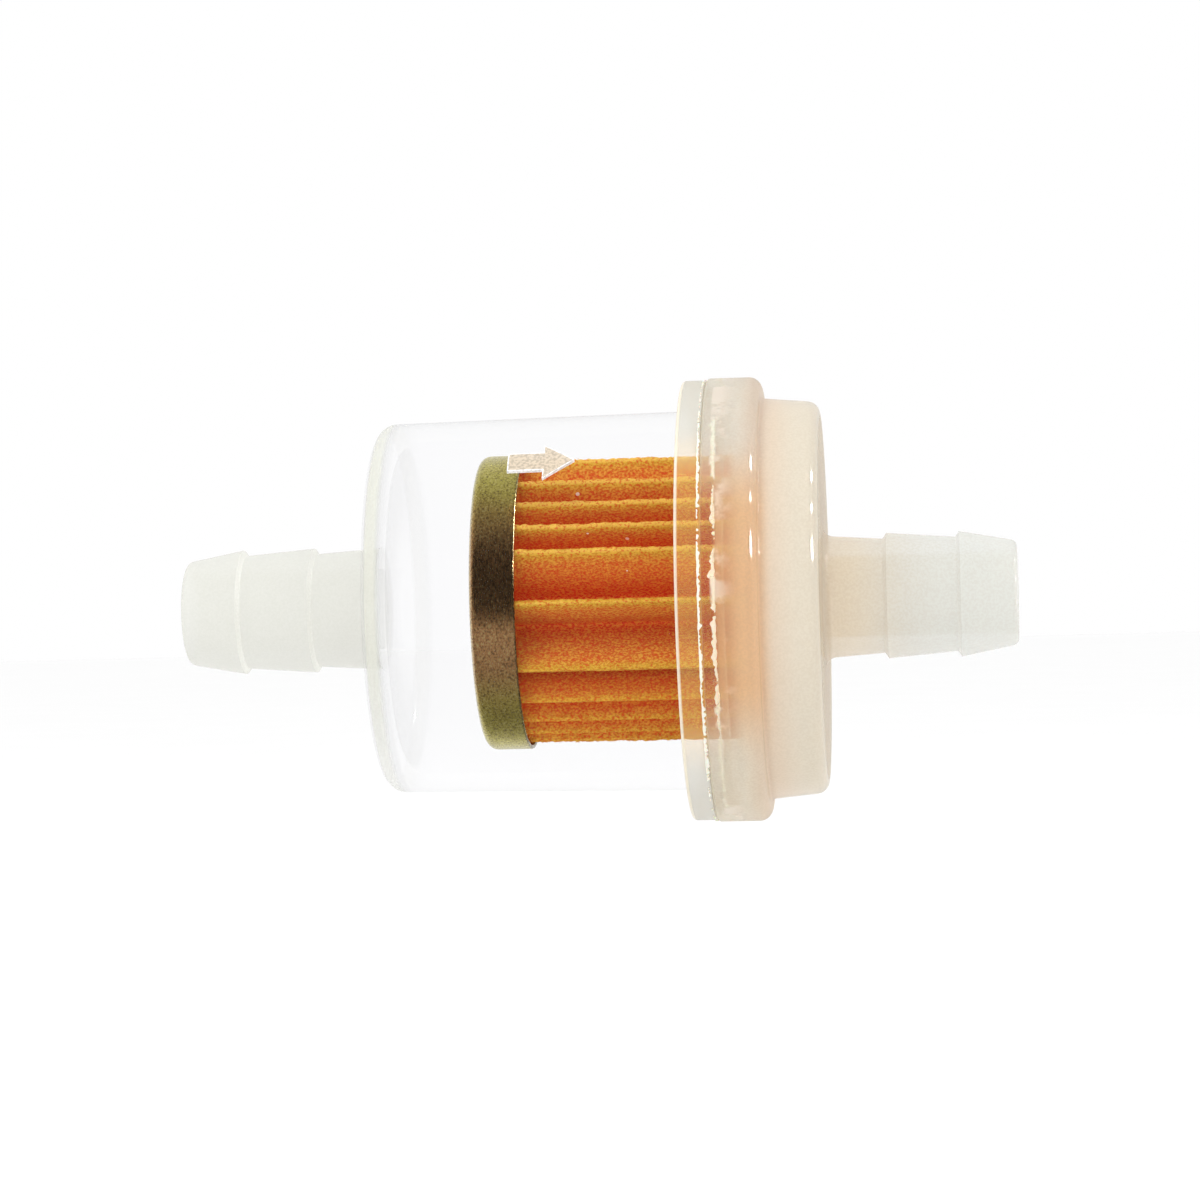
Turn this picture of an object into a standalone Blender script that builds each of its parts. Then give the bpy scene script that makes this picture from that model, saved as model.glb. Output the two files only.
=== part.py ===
"""Inline fuel filter for small engines: a clear bowl spin-welded to a milky cap, with a pleated paper element.

Frame: metres. +X is the flow direction, from the inlet barb to the outlet barb, and +Z is up.
The origin is on the turning axis, half way along the overall length.
Sizes below are millimetres. Stations are places along the turning axis, counted from the origin.
"""

import math

import bmesh
import bpy
from mathutils import Vector

MM = 0.001
GAP = 0.3            # clearance kept between pieces that touch on the real filter
TURN_STEPS = 48      # facets round a turned piece
FILLET_STEPS = 4     # facets along a rounded corner
MERGE = 0.00001      # metres

# Overall and hose barbs
HALF_LENGTH = 30.0
BORE_R = 2.9
TIP_R = 3.72
TIP_FILLET = 0.4
CREST_R = 4.5
ROOT_R = 4.1
BARB_PITCH = 5.2
FIRST_CREST = 25.9   # distance of the crest next to the tip from the origin
SHOULDER = 0.25      # length of the step behind a crest
STUB_R = 4.4

# Clear bowl
BOWL_END = -15.6
BOWL_END_R = 13.3
BOWL_RIM_R = 13.62
BOWL_CORNER = 1.2
BOWL_WALL = 1.35
BOWL_END_WALL = 1.5
RIM_START = 6.45
RIM_END = 8.2
RIM_R = 15.8
EDGE_FILLET = 0.3

# Milky cap
CAP_START = RIM_END + GAP
COLLAR_R = 15.93
COLLAR_END = 12.1
STEP_R = 14.39
STEP_END_R = 14.0
CAP_END = 16.2
CAP_FILLET = 0.9
CAP_STUB_FILLET = 0.75
POCKET_R = 12.3
POCKET_FLOOR = 12.4
PLENUM_R = 5.6
PLENUM_END = 14.85

# Weld ring, in a rebate of the collar's joint face
WELD_INNER_R = 13.2
WELD_OUTER_R = 14.8
WELD_WIDTH = 0.9

# Filter element
ELEMENT_CAP_START = -8.3
ELEMENT_CAP_LENGTH = 3.25
ELEMENT_CAP_R = 10.6
ELEMENT_CAP_SHEET = 0.3
ELEMENT_CAP_CORNER = 0.75
POTTING_THICK = 1.2
SEAT_GLUE_THICK = 0.6
SEAT_GLUE_OUTER_R = 10.6
PAPER_CREST_R = 10.0
PAPER_VALLEY_R = 6.1
PAPER_THICK = 0.3
PLEATS = 27
FOLD_POINTS = 3      # points round each fold
FOLD_R = 0.35
SEAM_THICK = 0.3
SEAM_DEPTH = 0.8
SEAM_ANGLE = 90.0    # degrees round the axis from -Z towards +Y, the side away from the arrow

# Flow arrow, raised on the bowl
ARROW_TAIL = -5.4
ARROW_TIP = -0.7
ARROW_SHAFT_W = 1.8
ARROW_HEAD_W = 3.45
ARROW_HEAD_L = 2.2
ARROW_RAISE = 0.25
ARROW_ROOT = 0.4     # how far the arrow's solid reaches into the bowl wall
ARROW_ELEVATION = 47.0   # degrees above the horizontal on the -Y side


def clear_scene():
    for item in list(bpy.data.objects):
        bpy.data.objects.remove(item, do_unlink=True)


def new_collection(name):
    collection = bpy.data.collections.new(name)
    bpy.context.scene.collection.children.link(collection)
    return collection


def new_material(name, colour, roughness, metallic=0.0, transmission=0.0):
    material = bpy.data.materials.new(name)
    material.use_nodes = True
    shader = material.node_tree.nodes["Principled BSDF"]
    shader.inputs["Base Color"].default_value = (*colour, 1.0)
    shader.inputs["Roughness"].default_value = roughness
    shader.inputs["Metallic"].default_value = metallic
    shader.inputs["Transmission Weight"].default_value = transmission
    material.diffuse_color = (*colour, 1.0)
    return material


def new_axis(collection):
    """An empty whose own +Z is the flow direction, so a turned piece stands upright under it."""
    axis = bpy.data.objects.new("flow_axis", None)
    axis.rotation_euler = (0.0, math.radians(90), 0.0)
    collection.objects.link(axis)
    return axis


def add_object(name, mesh, collection, material=None, parent=None):
    item = bpy.data.objects.new(name, mesh)
    collection.objects.link(item)
    if material:
        mesh.materials.append(material)
    item.parent = parent
    return item


def rounded_corner(before, corner, after, radius):
    """Points of the arc that rounds a corner of an outline."""
    to_before = (before - corner).normalized()
    to_after = (after - corner).normalized()
    half = to_before.angle(to_after) / 2
    centre = corner + (to_before + to_after).normalized() * (radius / math.sin(half))
    reach = radius / math.tan(half)
    start = corner + to_before * reach - centre
    turn = start.angle_signed(corner + to_after * reach - centre)
    points = []
    for i in range(FILLET_STEPS + 1):
        angle = -turn * i / FILLET_STEPS
        cos, sin = math.cos(angle), math.sin(angle)
        points.append(centre + Vector((start.x * cos - start.y * sin, start.x * sin + start.y * cos)))
    return points


def outline(corners):
    """Points of a closed outline, from corners given as radius, station and corner fillet."""
    places = [Vector((r, z)) for r, z, _ in corners]
    points = []
    for i, (_, _, fillet) in enumerate(corners):
        before, corner, after = places[i - 1], places[i], places[(i + 1) % len(places)]
        points += rounded_corner(before, corner, after, fillet) if fillet else [corner]
    return points


def turned(name, corners, collection, material, parent):
    """A turned solid: a closed profile that runs down its outer side, with a Screw modifier."""
    mesh = bpy.data.meshes.new(name)
    shape = bmesh.new()
    ring = [shape.verts.new((p.x * MM, 0.0, p.y * MM)) for p in outline(corners)]
    for i, vert in enumerate(ring):
        shape.edges.new((vert, ring[(i + 1) % len(ring)]))
    shape.to_mesh(mesh)
    shape.free()
    item = add_object(name, mesh, collection, material, parent)
    screw = item.modifiers.new("turn", "SCREW")
    screw.axis = "Z"
    screw.steps = TURN_STEPS
    screw.render_steps = TURN_STEPS
    screw.use_merge_vertices = True
    screw.merge_threshold = MERGE
    screw.use_smooth_shade = True
    return item


def barb(side):
    """Corners of a hose barb's outer side, tip first. side is +1 for the outlet and -1 for the inlet."""
    corners = [(TIP_R, side * HALF_LENGTH, TIP_FILLET)]
    for crest in (FIRST_CREST, FIRST_CREST - BARB_PITCH):
        corners.append((CREST_R, side * crest, 0.0))
        corners.append((ROOT_R, side * (crest - SHOULDER), 0.0))
    return corners


def make_bowl(collection, cutters, material, parent):
    """The clear bowl: rim flange, straight wall, end wall, inlet barb and raised arrow in one moulding."""
    corners = [
        (RIM_R, RIM_END, EDGE_FILLET),
        (RIM_R, RIM_START, EDGE_FILLET),
        (BOWL_RIM_R, RIM_START, EDGE_FILLET),
        (BOWL_END_R, BOWL_END, BOWL_CORNER),
        (STUB_R, BOWL_END, EDGE_FILLET),
        *reversed(barb(-1)),
        (BORE_R, -HALF_LENGTH, 0.0),
        (BORE_R, BOWL_END + BOWL_END_WALL, 0.0),
        (BOWL_END_R - BOWL_WALL, BOWL_END + BOWL_END_WALL, BOWL_CORNER),
        (BOWL_RIM_R - BOWL_WALL, RIM_END, 0.0),
    ]
    bowl = turned("inlet_bowl", corners, collection, material, parent)
    join = bowl.modifiers.new("raised_arrow", "BOOLEAN")
    join.operation = "UNION"
    join.solver = "EXACT"
    join.object = make_arrow(cutters)
    return bowl


def arrow_outline():
    """Half outline points of the arrow and their mirror, with the tip on +X."""
    neck = ARROW_TIP - ARROW_HEAD_L
    upper = [(ARROW_TAIL, ARROW_SHAFT_W / 2), (neck, ARROW_SHAFT_W / 2), (neck, ARROW_HEAD_W / 2)]
    lower = [(x, -y) for x, y in reversed(upper)]
    return [*upper, (ARROW_TIP, 0.0), *lower]


def make_arrow(cutters):
    """The arrow as a flat plate whose root lies inside the bowl's wall."""
    middle = (ARROW_TAIL + ARROW_TIP) / 2
    slope = (BOWL_RIM_R - BOWL_END_R) / (RIM_START - BOWL_END)
    wall_r = BOWL_END_R + slope * (middle - BOWL_END)
    curve = bpy.data.curves.new("arrow_outline", "CURVE")
    curve.dimensions = "2D"
    curve.fill_mode = "BOTH"
    curve.extrude = (ARROW_RAISE + ARROW_ROOT) / 2 * MM
    points = arrow_outline()
    spline = curve.splines.new("POLY")
    spline.points.add(len(points) - 1)
    spline.use_cyclic_u = True
    for point, (x, y) in zip(spline.points, points):
        point.co = (x * MM, y * MM, 0.0, 1.0)
    flat = bpy.data.objects.new("arrow_outline", curve)
    height = (wall_r + (ARROW_RAISE - ARROW_ROOT) / 2) * MM
    angle = math.radians(ARROW_ELEVATION)
    flat.location = (0.0, -height * math.cos(angle), height * math.sin(angle))
    flat.rotation_euler = (math.pi / 2 - angle, 0.0, 0.0)
    cutters.objects.link(flat)
    return mesh_from_curve(flat, cutters, "arrow_plate")


def mesh_from_curve(flat, cutters, name):
    """A closed mesh object in place of a curve object."""
    bpy.context.view_layer.update()
    depsgraph = bpy.context.evaluated_depsgraph_get()
    mesh = bpy.data.meshes.new_from_object(flat.evaluated_get(depsgraph))
    shape = bmesh.new()
    shape.from_mesh(mesh)
    bmesh.ops.remove_doubles(shape, verts=shape.verts, dist=MERGE)
    bmesh.ops.recalc_face_normals(shape, faces=shape.faces)
    shape.to_mesh(mesh)
    shape.free()
    item = add_object(name, mesh, cutters)
    item.matrix_world = flat.matrix_world.copy()
    item.hide_render = True
    item.display_type = "WIRE"
    bpy.data.objects.remove(flat, do_unlink=True)
    return item


def make_cap(collection, material, parent):
    """The milky cap: collar, step and outlet barb, with the element's pocket and the outlet plenum inside."""
    rebate_r = WELD_OUTER_R + GAP
    rebate_end = CAP_START + WELD_WIDTH + GAP
    corners = [
        *barb(1),
        (STUB_R, CAP_END, CAP_STUB_FILLET),
        (STEP_END_R, CAP_END, CAP_FILLET),
        (STEP_R, COLLAR_END, EDGE_FILLET),
        (COLLAR_R, COLLAR_END, CAP_FILLET),
        (COLLAR_R, CAP_START, EDGE_FILLET),
        (rebate_r, CAP_START, 0.0),
        (rebate_r, rebate_end, 0.0),
        (POCKET_R, rebate_end, 0.0),
        (POCKET_R, POCKET_FLOOR, 0.0),
        (PLENUM_R, POCKET_FLOOR, 0.0),
        (PLENUM_R, PLENUM_END, 0.0),
        (BORE_R, PLENUM_END, 0.0),
        (BORE_R, HALF_LENGTH, 0.0),
    ]
    return turned("outlet_cap", corners, collection, material, parent)


def ring(name, inner_r, outer_r, start, end, collection, material, parent):
    """A plain turned ring between two stations."""
    corners = [(outer_r, end, 0.0), (outer_r, start, 0.0), (inner_r, start, 0.0), (inner_r, end, 0.0)]
    return turned(name, corners, collection, material, parent)


def disc(name, radius, start, end, collection, material, parent):
    """A plain round disc between two stations."""
    mesh = bpy.data.meshes.new(name)
    shape = bmesh.new()
    bmesh.ops.create_cone(
        shape,
        cap_ends=True,
        segments=TURN_STEPS,
        radius1=radius * MM,
        radius2=radius * MM,
        depth=(end - start) * MM,
    )
    shape.to_mesh(mesh)
    shape.free()
    item = add_object(name, mesh, collection, material, parent)
    item.location = (0.0, 0.0, (start + end) / 2 * MM)
    return item


def make_element_cap(collection, material, parent):
    """The pressed steel cup that closes the element's inlet end: an open sheet with Solidify."""
    mesh = bpy.data.meshes.new("element_cap")
    shape = bmesh.new()
    rim = ELEMENT_CAP_START + ELEMENT_CAP_LENGTH
    floor = ELEMENT_CAP_START
    corner = rounded_corner(
        Vector((ELEMENT_CAP_R, rim)),
        Vector((ELEMENT_CAP_R, floor)),
        Vector((0.0, floor)),
        ELEMENT_CAP_CORNER,
    )
    profile = [Vector((ELEMENT_CAP_R, rim)), *corner, Vector((0.0, floor))]
    line = [shape.verts.new((p.x * MM, 0.0, p.y * MM)) for p in profile]
    for start, end in zip(line, line[1:]):
        shape.edges.new((start, end))
    shape.to_mesh(mesh)
    shape.free()
    item = add_object("element_cap", mesh, collection, material, parent)
    screw = item.modifiers.new("turn", "SCREW")
    screw.axis = "Z"
    screw.steps = TURN_STEPS
    screw.render_steps = TURN_STEPS
    screw.use_merge_vertices = True
    screw.merge_threshold = MERGE
    screw.use_smooth_shade = True
    sheet = item.modifiers.new("sheet", "SOLIDIFY")
    sheet.thickness = ELEMENT_CAP_SHEET * MM
    sheet.offset = -1.0
    sheet.use_even_offset = True
    return item


def paper_ends():
    """Stations where the pleated paper starts and ends, between the two layers of potting."""
    inside = ELEMENT_CAP_START + ELEMENT_CAP_SHEET
    start = inside + GAP + POTTING_THICK + GAP
    end = POCKET_FLOOR - GAP - SEAT_GLUE_THICK - GAP
    return start, end


def fold(radius, angle, outward):
    """Points round one fold of the paper, a small arc that bulges outwards or inwards."""
    points = []
    for i in range(FOLD_POINTS):
        turn = math.pi * (i / (FOLD_POINTS - 1) - 0.5)
        across = FOLD_R * math.sin(turn)
        along = FOLD_R * (math.cos(turn) - 1) * (1 if outward else -1)
        r = radius + along
        points.append(Vector((r * math.cos(angle), r * math.sin(angle)))
                      + Vector((-math.sin(angle), math.cos(angle))) * across)
    return points


def pleat_line():
    """The folded strip seen along the axis. Both of its ends stand at the seam, at the crest radius."""
    crest_r = PAPER_CREST_R - PAPER_THICK / 2
    valley_r = PAPER_VALLEY_R + PAPER_THICK / 2
    pitch = 2 * math.pi / PLEATS
    seam = math.radians(SEAM_ANGLE)
    half_seam = (SEAM_THICK / 2 + GAP + PAPER_THICK / 2) / crest_r
    points = [Vector((math.cos(seam + half_seam), math.sin(seam + half_seam))) * crest_r]
    for i in range(PLEATS):
        points += fold(valley_r, seam + (i + 0.5) * pitch, outward=False)
        if i < PLEATS - 1:
            points += fold(crest_r, seam + (i + 1) * pitch, outward=True)
    points.append(Vector((math.cos(seam - half_seam), math.sin(seam - half_seam))) * crest_r)
    return points


def make_paper(collection, material, parent):
    """The pleated paper: a folded line drawn out along the axis, with Solidify."""
    start, end = paper_ends()
    mesh = bpy.data.meshes.new("pleated_paper")
    shape = bmesh.new()
    line = [shape.verts.new((p.x * MM, p.y * MM, start * MM)) for p in pleat_line()]
    edges = [shape.edges.new(pair) for pair in zip(line, line[1:])]
    drawn = bmesh.ops.extrude_edge_only(shape, edges=edges)["geom"]
    moved = [item for item in drawn if isinstance(item, bmesh.types.BMVert)]
    bmesh.ops.translate(shape, verts=moved, vec=(0.0, 0.0, (end - start) * MM))
    bmesh.ops.recalc_face_normals(shape, faces=shape.faces)
    shape.to_mesh(mesh)
    shape.free()
    item = add_object("pleated_paper", mesh, collection, material, parent)
    sheet = item.modifiers.new("sheet", "SOLIDIFY")
    sheet.thickness = PAPER_THICK * MM
    sheet.offset = 0.0
    sheet.use_even_offset = True
    return item


def make_seam(collection, material, parent):
    """The strip of adhesive between the two ends of the folded paper."""
    start, end = paper_ends()
    mesh = bpy.data.meshes.new("paper_seam")
    shape = bmesh.new()
    bmesh.ops.create_cube(shape, size=1.0)
    bmesh.ops.scale(shape, verts=shape.verts, vec=Vector((SEAM_DEPTH, SEAM_THICK, end - start)) * MM)
    shape.to_mesh(mesh)
    shape.free()
    item = add_object("paper_seam", mesh, collection, material, parent)
    radius = (PAPER_CREST_R - SEAM_DEPTH / 2) * MM
    angle = math.radians(SEAM_ANGLE)
    item.location = (radius * math.cos(angle), radius * math.sin(angle), (start + end) / 2 * MM)
    item.rotation_euler = (0.0, 0.0, angle)
    return item


def build():
    clear_scene()
    parts = new_collection("fuel_filter")
    cutters = new_collection("cutters")
    axis = new_axis(parts)
    clear = new_material("clear_plastic", (0.92, 0.93, 0.96), 0.12, transmission=0.9)
    milky = new_material("milky_plastic", (0.86, 0.80, 0.70), 0.3, transmission=0.3)
    steel = new_material("passivated_steel", (0.25, 0.22, 0.11), 0.4, metallic=0.8)
    paper = new_material("filter_paper", (0.78, 0.42, 0.12), 0.9)
    adhesive = new_material("adhesive", (0.80, 0.68, 0.48), 0.5)

    make_bowl(parts, cutters, clear, axis)
    make_cap(parts, milky, axis)
    ring("weld_ring", WELD_INNER_R, WELD_OUTER_R, CAP_START, CAP_START + WELD_WIDTH, parts, milky, axis)

    make_element_cap(parts, steel, axis)
    floor = ELEMENT_CAP_START + ELEMENT_CAP_SHEET + GAP
    disc("inlet_potting", PAPER_CREST_R, floor, floor + POTTING_THICK, parts, adhesive, axis)
    make_paper(parts, paper, axis)
    make_seam(parts, adhesive, axis)
    seat = POCKET_FLOOR - GAP
    ring("outlet_potting", PLENUM_R, SEAT_GLUE_OUTER_R, seat - SEAT_GLUE_THICK, seat, parts, adhesive, axis)


build()
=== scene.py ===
"""Looks of the small-engine inline fuel filter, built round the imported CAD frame.

Lengths are millimetres, turned into metres where a mesh is made. The flow axis is +X and +Z is up.
An angle round the axis is counted from the front horizontal, the -Y side, upwards.
"""

import math
import random

import bmesh
import bpy
from mathutils import Matrix, Vector, noise


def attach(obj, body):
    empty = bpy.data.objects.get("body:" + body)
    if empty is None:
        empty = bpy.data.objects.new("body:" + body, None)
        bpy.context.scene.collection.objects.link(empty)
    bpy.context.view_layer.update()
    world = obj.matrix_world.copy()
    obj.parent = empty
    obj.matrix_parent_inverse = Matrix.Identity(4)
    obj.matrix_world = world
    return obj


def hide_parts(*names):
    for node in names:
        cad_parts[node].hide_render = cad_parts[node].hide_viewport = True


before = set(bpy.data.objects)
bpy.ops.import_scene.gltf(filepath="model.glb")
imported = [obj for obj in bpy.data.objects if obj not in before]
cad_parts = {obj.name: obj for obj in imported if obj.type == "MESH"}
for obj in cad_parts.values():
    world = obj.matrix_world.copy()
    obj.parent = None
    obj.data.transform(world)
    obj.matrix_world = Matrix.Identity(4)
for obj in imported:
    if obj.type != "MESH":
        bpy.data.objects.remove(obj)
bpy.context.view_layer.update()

MM = 0.001
TURN_STEPS = 160         # facets round a turned piece
FILLET_STEPS = 6         # facets along a rounded corner
SHARP_ANGLE = math.radians(38)
random.seed(7)

# Outline of the two mouldings, as in the CAD
HALF_LENGTH = 30.0
BORE_R = 2.9
TIP_R = 3.72
CREST_R = 4.5
ROOT_R = 4.1
BARB_PITCH = 5.2
FIRST_CREST = 25.9
SHOULDER = 0.25
STUB_R = 4.4
BOWL_END = -15.6
BOWL_END_R = 13.3
BOWL_RIM_R = 13.62
BOWL_WALL = 1.35
END_WALL = 1.5
RIM_START = 6.45
RIM_END = 8.2
RIM_R = 15.8
JOINT_GAP = 0.06         # open line between the flange and the collar
COLLAR_R = 15.93
COLLAR_END = 12.1
STEP_R = 14.39
STEP_END_R = 14.0
CAP_END = 16.2
POCKET_R = 12.3
POCKET_FLOOR = 12.4
PLENUM_R = 5.6
PLENUM_END = 14.85
REBATE_R = 15.1
REBATE_END = 9.7

# Filter element. It sits a little high in the bowl.
ELEMENT_LIFT = 0.2
CUP_START = -8.3
CUP_LENGTH = 3.25
CUP_R = 10.6
CUP_SHEET = 0.3
CUP_CORNER = 0.75
PAPER_START = -6.2
PAPER_END = 11.2
CREST_PAPER_R = 10.08
VALLEY_PAPER_R = 6.1
PAPER_THICK = 0.28
PAPER_STEPS = 140        # quads along a fold
# Angles in degrees of the folds on the front
FRONT_CRESTS = (84.0, 56.5, 42.8, 31.3, 20.1, -0.7, -28.1, -43.8, -56.0, -67.0, -79.0)
# Colours of the paper by depth, 0 in a valley and 1 on a fold: painted light and shade, yellow where the folds catch
# light and deep red where the valleys are shaded
PAPER_SHADING_BY_DEPTH = (
    (0.00, (0.84, 0.130, 0.035)),
    (0.50, (0.61, 0.165, 0.033)),
    (0.82, (0.63, 0.205, 0.033)),
    (0.95, (0.58, 0.340, 0.033)),
    (0.975, (0.64, 0.430, 0.045)),
    (1.00, (0.84, 0.620, 0.120)),
)
LEANING_FOLD = 20.1      # the fold whose lower valley is pushed over, and how far along it lies
LEANING = 0.1
SEAM_ANGLE = 180.0
BACK_PITCH = 13.0        # degrees between the folds on the back

# Raised arrow on the bowl
ARROW_TAIL = -5.4
ARROW_TIP = -0.7
ARROW_NECK = -2.9
ARROW_SHAFT = 1.8
ARROW_HEAD = 3.45
ARROW_RAISE = 0.24
ARROW_BORDER = 0.13
ARROW_ANGLE = 47.0
ARROW_LANES = 10

# What glossy surfaces see of the studio: degrees from the front horizontal upwards, and grey
MIRRORED_STUDIO = (
    (-145, 1.0),
    (-120, 0.42),
    (-100, 0.33),
    (-60, 0.38),
    (-30, 0.52),
    (-20, 0.60),
    (-13, 0.10),
    (-6, 0.04),
    (46, 0.03),
    (60, 0.22),
    (84, 0.40),
    (130, 0.8),
)

# Windows that glossy surfaces show as short bright dashes: direction, and height in metres
WINDOWS = ((0.75, 0.15, 0.65, 0.05), (0.84, -0.07, 0.54, 0.03), (0.91, -0.26, 0.32, 0.09))


# ---------------------------------------------------------------- mesh helpers

def smooth(mesh, angle=SHARP_ANGLE):
    mesh.shade_smooth()
    mesh.set_sharp_from_angle(angle=angle)


def add_piece(name, mesh, replaced=()):
    piece = bpy.data.objects.new(name, mesh)
    bpy.context.scene.collection.objects.link(piece)
    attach(piece, "root")
    if replaced:
        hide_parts(*replaced)
    return piece


def on_ring(station, radius, angle, lift=0.0):
    """A point in metres from a station, a radius and an angle in radians round the axis."""
    return Vector((station, -radius * math.cos(angle), radius * math.sin(angle) + lift)) * MM


def rounded_corner(before, corner, after, radius):
    """Points of the arc that rounds a corner of an outline."""
    to_before = (before - corner).normalized()
    to_after = (after - corner).normalized()
    half = to_before.angle(to_after) / 2
    centre = corner + (to_before + to_after).normalized() * (radius / math.sin(half))
    reach = radius / math.tan(half)
    start = corner + to_before * reach - centre
    turn = start.angle_signed(corner + to_after * reach - centre)
    points = []
    for i in range(FILLET_STEPS + 1):
        angle = -turn * i / FILLET_STEPS
        cos, sin = math.cos(angle), math.sin(angle)
        points.append(centre + Vector((start.x * cos - start.y * sin, start.x * sin + start.y * cos)))
    return points


def outline(corners):
    """Points (radius, station) of a closed outline, from corners with a fillet each."""
    places = [Vector((r, x)) for r, x, _ in corners]
    points = []
    for i, (_, _, fillet) in enumerate(corners):
        before, corner, after = places[i - 1], places[i], places[(i + 1) % len(places)]
        points += rounded_corner(before, corner, after, fillet) if fillet else [corner]
    return points


def turned_mesh(name, points, lift=0.0, steps=TURN_STEPS):
    """A closed solid of revolution round the flow axis. The outline runs down its outer side."""
    mesh = bpy.data.meshes.new(name)
    shape = bmesh.new()
    rings = []
    for i in range(steps):
        angle = 2 * math.pi * i / steps
        rings.append([shape.verts.new(on_ring(p.y, p.x, angle, lift)) for p in points])
    count = len(points)
    for i, ring in enumerate(rings):
        following = rings[(i + 1) % steps]
        for j in range(count):
            k = (j + 1) % count
            shape.faces.new((ring[j], ring[k], following[k], following[j]))
    bmesh.ops.recalc_face_normals(shape, faces=shape.faces)
    shape.to_mesh(mesh)
    shape.free()
    smooth(mesh)
    return mesh


def barb(side):
    """Corners of a hose barb's outer side, tip first. side is +1 for the outlet and -1 for the inlet."""
    corners = [(TIP_R, side * HALF_LENGTH, 0.5)]
    for crest in (FIRST_CREST, FIRST_CREST - BARB_PITCH):
        corners.append((CREST_R, side * crest, 0.05))
        corners.append((ROOT_R, side * (crest - SHOULDER), 0.1))
    return corners


# ---------------------------------------------------------------- material helpers

class Tree:
    """A material's node tree, with short ways to add and join nodes."""

    def __init__(self, name):
        self.material = bpy.data.materials.new(name)
        self.material.use_nodes = True
        self.nodes = self.material.node_tree.nodes
        self.links = self.material.node_tree.links
        self.nodes.clear()
        self.output = self.add("ShaderNodeOutputMaterial")
        self.place = self.add("ShaderNodeTexCoord").outputs["Object"]

    def add(self, kind, values=None, **settings):
        """Adds a node. values maps an input's name or number to a number or to another node's output."""
        node = self.nodes.new(kind)
        for key, value in settings.items():
            setattr(node, key, value)
        for key, value in (values or {}).items():
            if isinstance(value, bpy.types.NodeSocket):
                self.links.new(value, node.inputs[key])
            else:
                node.inputs[key].default_value = value
        return node

    def math(self, operation, a, b=0.0, clamp=False):
        return self.add("ShaderNodeMath", {0: a, 1: b}, operation=operation, use_clamp=clamp).outputs[0]

    def axis(self, letter):
        """One coordinate of the surface point, in metres."""
        return self.add("ShaderNodeSeparateXYZ", {0: self.place}).outputs[letter]

    def radius(self):
        """Distance of the surface point from the flow axis, in metres."""
        flat = self.add("ShaderNodeVectorMath", {0: self.place, 1: (0.0, 1.0, 1.0)}, operation="MULTIPLY")
        return self.add("ShaderNodeVectorMath", {0: flat.outputs[0]}, operation="LENGTH").outputs["Value"]

    def ramp(self, value, low, high, start=0.0, end=1.0):
        """start where value is at or under low, end at or over high, eased between."""
        node = self.add(
            "ShaderNodeMapRange",
            {"Value": value, 1: low, 2: high, 3: start, 4: end},
            interpolation_type="SMOOTHSTEP",
        )
        return node.outputs[0]

    def noise(self, size, detail=2.0, stretch=(1.0, 1.0, 1.0)):
        """Noise with features of about the given size in millimetres."""
        place = self.add("ShaderNodeMapping", {0: self.place, "Scale": stretch}).outputs[0]
        return self.add("ShaderNodeTexNoise", {"Vector": place, "Scale": 1 / (size * MM), "Detail": detail}).outputs[0]

    def mix(self, share, first, second):
        """A colour between two, each a colour or an output."""
        values = {0: share}
        for key, colour in ((6, first), (7, second)):
            values[key] = colour if isinstance(colour, bpy.types.NodeSocket) else (*colour, 1.0)
        return self.add("ShaderNodeMix", values, data_type="RGBA").outputs[2]

    def between(self, share, first, second):
        """A number between two, each a number or an output."""
        return self.add("ShaderNodeMix", {0: share, 2: first, 3: second}, data_type="FLOAT").outputs[0]

    def bump(self, height, strength, distance):
        values = {"Height": height, "Strength": strength, "Distance": distance * MM}
        return self.add("ShaderNodeBump", values).outputs[0]

    def blend(self, share, first, second):
        return self.add("ShaderNodeMixShader", {0: share, 1: first, 2: second}).outputs[0]

    def show(self, shader):
        self.links.new(shader, self.output.inputs["Surface"])
        return self.material


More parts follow.
